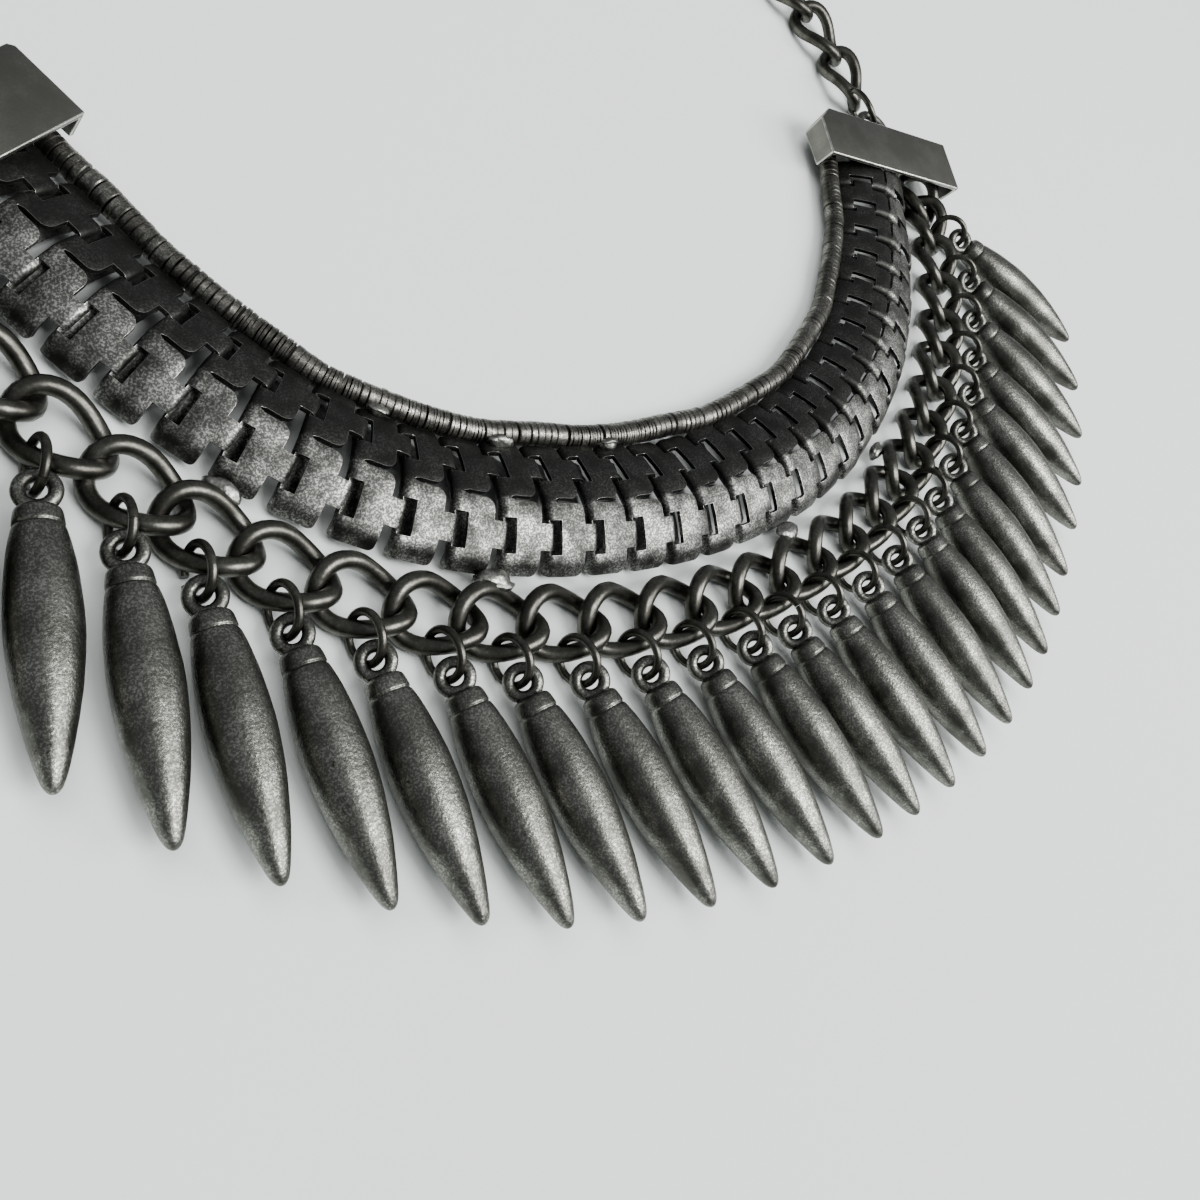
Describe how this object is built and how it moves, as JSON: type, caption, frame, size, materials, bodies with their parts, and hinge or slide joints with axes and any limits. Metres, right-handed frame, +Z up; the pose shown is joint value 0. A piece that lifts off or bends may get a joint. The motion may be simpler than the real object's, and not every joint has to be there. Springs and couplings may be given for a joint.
{
  "type": "bib necklace",
  "caption": "Bib necklace: a band of arched stamped plates between a washer rope and a curb chain that carries a fringe of cast teardrops, with folded end caps and a link chain behind the neck.",
  "frame": {"origin": "centre of the bounding box, on the surface the necklace lies on", "axes": "+Z up from the surface, +Y towards the clasp behind the neck, -Y towards the front drops, +X to the wearer's left as it lies face up"},
  "size_m": [0.1984, 0.189, 0.0069],
  "materials": {
    "cast_drops": "cast pewter-coloured alloy, antiqued dark and rubbed bright on top",
    "stamped_plates": "stamped sheet, antiqued dark grey with burnished edges",
    "rim_washers": "thin washers, dark between and bright on their rims",
    "chain_wire": "round wire, dark gunmetal, rubbed bright on the crowns",
    "folded_caps": "folded sheet, antiqued, burnished along its folds"
  },
  "bodies": {
    "root": {"rim_rope_1": "rim_washers", "rim_rope_2": "rim_washers", "rim_rope_3": "rim_washers", "rim_rope_4": "rim_washers", "rim_rope_5": "rim_washers", "rim_rope_6": "rim_washers", "plate_band_1": "stamped_plates", "plate_band_2": "stamped_plates", "plate_band_3": "stamped_plates", "plate_band_4": "stamped_plates", "plate_band_5": "stamped_plates", "plate_band_6": "stamped_plates", "curb_chain_1": "chain_wire", "curb_chain_2": "chain_wire", "curb_chain_3": "chain_wire", "curb_chain_4": "chain_wire", "curb_chain_5": "chain_wire", "curb_chain_6": "chain_wire", "drop_01": "cast_drops", "drop_02": "cast_drops", "drop_03": "cast_drops", "drop_04": "cast_drops", "drop_05": "cast_drops", "drop_06": "cast_drops", "drop_07": "cast_drops", "drop_08": "cast_drops", "drop_09": "cast_drops", "drop_10": "cast_drops", "drop_11": "cast_drops", "drop_12": "cast_drops", "drop_13": "cast_drops", "drop_14": "cast_drops", "drop_15": "cast_drops", "drop_16": "cast_drops", "drop_17": "cast_drops", "drop_18": "cast_drops", "drop_19": "cast_drops", "drop_20": "cast_drops", "drop_21": "cast_drops", "drop_22": "cast_drops", "drop_23": "cast_drops", "drop_24": "cast_drops", "drop_25": "cast_drops", "drop_26": "cast_drops", "end_cap_left": "folded_caps", "end_cap_right": "folded_caps", "back_chain_right_1": "chain_wire", "back_chain_right_2": "chain_wire", "back_chain_right_3": "chain_wire", "back_chain_left_1": "chain_wire", "back_chain_left_2": "chain_wire", "back_chain_left_3": "chain_wire", "clasp": "chain_wire"}
  },
  "joints": []
}
